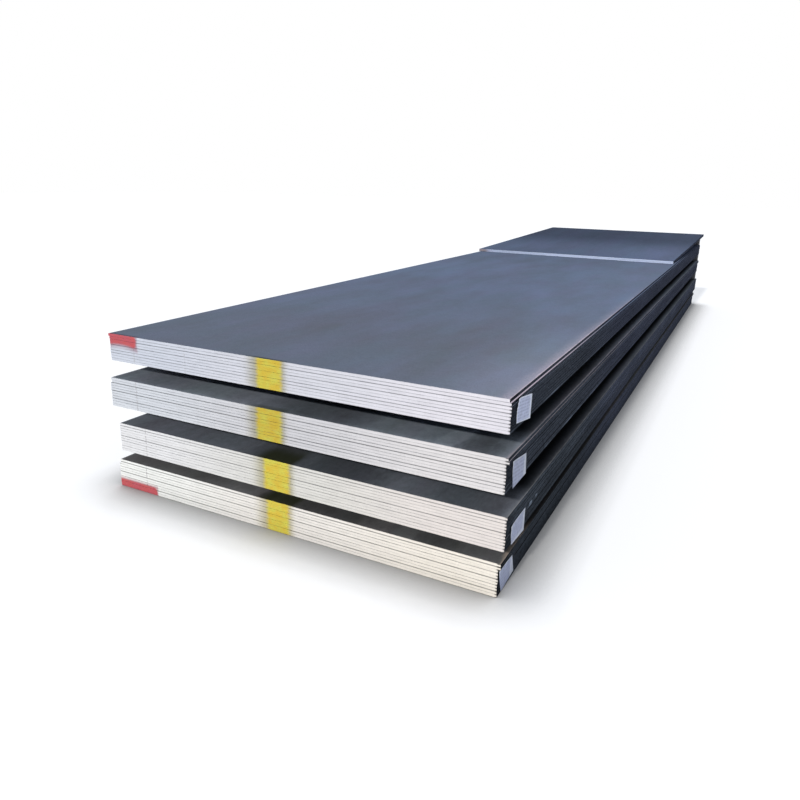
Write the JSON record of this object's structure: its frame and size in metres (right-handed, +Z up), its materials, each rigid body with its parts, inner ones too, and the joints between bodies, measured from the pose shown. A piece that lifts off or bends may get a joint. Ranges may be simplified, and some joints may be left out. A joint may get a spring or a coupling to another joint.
{
  "type": "stack of steel plates",
  "caption": "Stack of long flat hot-rolled steel plates in bundles on timber battens, with short plates on top at one end.",
  "frame": {"origin": "centre of the stack's bounding box in X and Y, at the ground", "axes": "+Z up, +Y along the plates towards the end with the short plates, +X towards the side with the labels"},
  "size_m": [1.5376, 6.0272, 0.687],
  "materials": {
    "plate_steel": "dark blue-grey mill scale on the faces and long sides, bright freshly cut short edges",
    "short_plate_steel": "dark blue-grey mill scale with a bright cut edge",
    "batten_timber": "rough sawn, dull",
    "label_paper": "matt printed paper"
  },
  "bodies": {
    "root": {"batten_under_bundle_1_1": "batten_timber", "batten_under_bundle_1_2": "batten_timber", "batten_under_bundle_1_3": "batten_timber", "batten_under_bundle_2_1": "batten_timber", "batten_under_bundle_2_2": "batten_timber", "batten_under_bundle_2_3": "batten_timber", "batten_under_bundle_3_1": "batten_timber", "batten_under_bundle_3_2": "batten_timber", "batten_under_bundle_3_3": "batten_timber", "bundle_1_plate_01": "plate_steel", "bundle_1_plate_02": "plate_steel", "bundle_1_plate_03": "plate_steel", "bundle_1_plate_04": "plate_steel", "bundle_1_plate_05": "plate_steel", "bundle_1_plate_06": "plate_steel", "bundle_1_plate_07": "plate_steel", "bundle_1_plate_08": "plate_steel", "bundle_1_plate_09": "plate_steel", "bundle_1_plate_10": "plate_steel", "bundle_2_plate_01": "plate_steel", "bundle_2_plate_02": "plate_steel", "bundle_2_plate_03": "plate_steel", "bundle_2_plate_04": "plate_steel", "bundle_2_plate_05": "plate_steel", "bundle_2_plate_06": "plate_steel", "bundle_2_plate_07": "plate_steel", "bundle_2_plate_08": "plate_steel", "bundle_2_plate_09": "plate_steel", "bundle_2_plate_10": "plate_steel", "bundle_2_plate_11": "plate_steel", "bundle_3_plate_01": "plate_steel", "bundle_3_plate_02": "plate_steel", "bundle_3_plate_03": "plate_steel", "bundle_3_plate_04": "plate_steel", "bundle_3_plate_05": "plate_steel", "bundle_3_plate_06": "plate_steel", "bundle_3_plate_07": "plate_steel", "bundle_3_plate_08": "plate_steel", "bundle_3_plate_09": "plate_steel", "bundle_3_plate_10": "plate_steel", "bundle_3_plate_11": "plate_steel", "bundle_4_plate_01": "plate_steel", "bundle_4_plate_02": "plate_steel", "bundle_4_plate_03": "plate_steel", "bundle_4_plate_04": "plate_steel", "bundle_4_plate_05": "plate_steel", "bundle_4_plate_06": "plate_steel", "bundle_4_plate_07": "plate_steel", "bundle_4_plate_08": "plate_steel", "bundle_4_plate_09": "plate_steel", "bundle_4_plate_10": "plate_steel", "bundle_4_plate_11": "plate_steel", "label_bundle_1": "label_paper", "label_bundle_2": "label_paper", "label_bundle_3": "label_paper", "label_bundle_4": "label_paper", "prop_batten": "batten_timber", "short_plate_1": "short_plate_steel", "short_plate_2": "short_plate_steel"}
  },
  "joints": []
}
